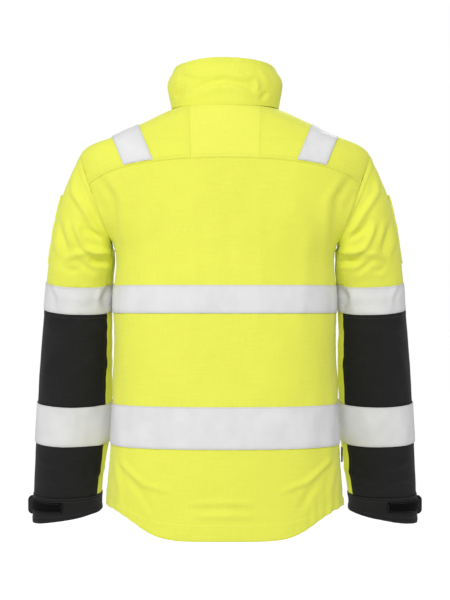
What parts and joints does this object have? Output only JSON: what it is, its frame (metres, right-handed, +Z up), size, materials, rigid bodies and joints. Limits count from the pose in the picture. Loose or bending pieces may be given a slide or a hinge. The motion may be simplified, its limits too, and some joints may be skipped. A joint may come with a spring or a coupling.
{
  "type": "high-visibility protective jacket",
  "caption": "Hip-length high-visibility work jacket with stand collar, front zip, reflective tapes, flap pockets and sleeves with cuff tabs, hanging as if worn.",
  "frame": {"origin": "middle of the neck opening, level with the ends of the hang loop", "axes": "+Z up, the front of the jacket faces -Y, +X is the wearer's left"},
  "size_m": [0.776, 0.3028, 0.88],
  "materials": {
    "yellow_cloth": "matt twill, fluorescent yellow",
    "black_cloth": "matt twill, black",
    "reflective_tape": "glass-bead retroreflective tape, pale silver",
    "loop_fastener": "knitted loop pile, black",
    "facing_cloth": "plain woven facing, dark grey",
    "zip_chain": "moulded zip teeth on woven tape, black",
    "slider_plastic": "moulded plastic, black",
    "trim_tape": "narrow woven tape, black"
  },
  "bodies": {
    "torso": {"back_panel": "yellow_cloth", "yoke_center": "yellow_cloth", "upper_body_tape": "reflective_tape", "lower_body_tape": "reflective_tape", "collar_back": "yellow_cloth", "hang_loop": "trim_tape", "side_tag": "trim_tape", "yoke_left": "yellow_cloth", "front_shoulder_left": "yellow_cloth", "side_panel_left": "yellow_cloth", "shoulder_tape_left": "reflective_tape", "yoke_right": "yellow_cloth", "front_shoulder_right": "yellow_cloth", "side_panel_right": "yellow_cloth", "shoulder_tape_right": "reflective_tape"},
    "left_front": {"front_left": "yellow_cloth", "front_facing_left": "facing_cloth", "upper_front_tape_left": "reflective_tape", "lower_front_tape_left": "reflective_tape", "zip_left": "zip_chain", "collar_front_left": "yellow_cloth", "chest_pocket_left": "yellow_cloth", "lower_pocket_left": "yellow_cloth"},
    "right_front": {"front_right": "yellow_cloth", "front_facing_right": "facing_cloth", "upper_front_tape_right": "reflective_tape", "lower_front_tape_right": "reflective_tape", "zip_right": "zip_chain", "collar_front_right": "yellow_cloth", "chest_pocket_right": "yellow_cloth", "lower_pocket_right": "yellow_cloth", "badge_patch": "black_cloth"},
    "zip_slider": {"zip_slider": "slider_plastic"},
    "zip_pull": {"zip_pull": "slider_plastic"},
    "left_chest_flap": {"chest_flap_left": "yellow_cloth"},
    "left_lower_flap": {"lower_flap_left": "yellow_cloth"},
    "left_sleeve": {"upper_sleeve_left": "yellow_cloth", "upper_undersleeve_left": "yellow_cloth", "upper_sleeve_tape_left": "reflective_tape", "sleeve_pocket_left": "yellow_cloth"},
    "left_forearm": {"lower_sleeve_left": "black_cloth", "lower_undersleeve_left": "yellow_cloth", "lower_sleeve_tape_left": "reflective_tape", "cuff_left": "black_cloth", "cuff_loop_strip_left": "loop_fastener"},
    "left_cuff_tab": {"cuff_tab_left": "black_cloth"},
    "right_chest_flap": {"chest_flap_right": "yellow_cloth"},
    "right_lower_flap": {"lower_flap_right": "yellow_cloth"},
    "right_sleeve": {"upper_sleeve_right": "yellow_cloth", "upper_undersleeve_right": "yellow_cloth", "upper_sleeve_tape_right": "reflective_tape", "sleeve_pocket_right": "yellow_cloth"},
    "right_forearm": {"lower_sleeve_right": "black_cloth", "lower_undersleeve_right": "yellow_cloth", "lower_sleeve_tape_right": "reflective_tape", "cuff_right": "black_cloth", "cuff_loop_strip_right": "loop_fastener"},
    "right_cuff_tab": {"cuff_tab_right": "black_cloth"}
  },
  "joints": [
    {"name": "left_front_hinge", "type": "hinge", "parent": "torso", "child": "left_front", "pos_m": [0.15, -0.127, -0.75], "axis": [-0.0597, 0.0452, 0.9972], "range_deg": [0, 60]},
    {"name": "right_front_hinge", "type": "hinge", "parent": "torso", "child": "right_front", "pos_m": [-0.15, -0.127, -0.75], "axis": [0.0597, 0.0452, 0.9972], "range_deg": [-60, 0]},
    {"name": "zip_slide", "type": "slide", "parent": "right_front", "child": "zip_slider", "axis": [0, -0.0797, -0.9968], "range_m": [0, 0.735]},
    {"name": "zip_pull_hinge", "type": "hinge", "parent": "zip_slider", "child": "zip_pull", "pos_m": [0, -0.0949, 0.0065], "axis": [-1, 0, 0], "range_deg": [0, 90]},
    {"name": "left_chest_flap_hinge", "type": "hinge", "parent": "left_front", "child": "left_chest_flap", "pos_m": [0.0697, -0.1102, -0.1876], "axis": [-0.9968, -0.0795, 0], "range_deg": [0, 110]},
    {"name": "left_lower_flap_hinge", "type": "hinge", "parent": "left_front", "child": "left_lower_flap", "pos_m": [0.0774, -0.1208, -0.3875], "axis": [-0.9871, -0.1601, 0], "range_deg": [0, 110]},
    {"name": "left_shoulder", "type": "hinge", "parent": "torso", "child": "left_sleeve", "pos_m": [0.239, 0, -0.167], "axis": [-0.9376, 0, 0.3477], "range_deg": [-20, 60]},
    {"name": "left_elbow", "type": "hinge", "parent": "left_sleeve", "child": "left_forearm", "pos_m": [0.279, -0.055, -0.361], "axis": [-1, 0, 0], "range_deg": [0, 45]},
    {"name": "left_cuff_tab_hinge", "type": "hinge", "parent": "left_forearm", "child": "left_cuff_tab", "pos_m": [0.304, -0.1385, -0.75], "axis": [0, 0, -1], "range_deg": [0, 100]},
    {"name": "right_chest_flap_hinge", "type": "hinge", "parent": "right_front", "child": "right_chest_flap", "pos_m": [-0.0697, -0.1102, -0.1876], "axis": [-0.9968, 0.0795, 0], "range_deg": [0, 110]},
    {"name": "right_lower_flap_hinge", "type": "hinge", "parent": "right_front", "child": "right_lower_flap", "pos_m": [-0.0774, -0.1208, -0.3875], "axis": [-0.9871, 0.1601, 0], "range_deg": [0, 110]},
    {"name": "right_shoulder", "type": "hinge", "parent": "torso", "child": "right_sleeve", "pos_m": [-0.239, 0, -0.167], "axis": [-0.9376, 0, -0.3477], "range_deg": [-20, 60]},
    {"name": "right_elbow", "type": "hinge", "parent": "right_sleeve", "child": "right_forearm", "pos_m": [-0.279, -0.055, -0.361], "axis": [-1, 0, 0], "range_deg": [0, 45]},
    {"name": "right_cuff_tab_hinge", "type": "hinge", "parent": "right_forearm", "child": "right_cuff_tab", "pos_m": [-0.304, -0.1385, -0.75], "axis": [0, 0, 1], "range_deg": [0, 100]}
  ],
  "couplings": [
    {"joint": "right_front_hinge", "follows": "left_front_hinge", "ratio": -1}
  ]
}
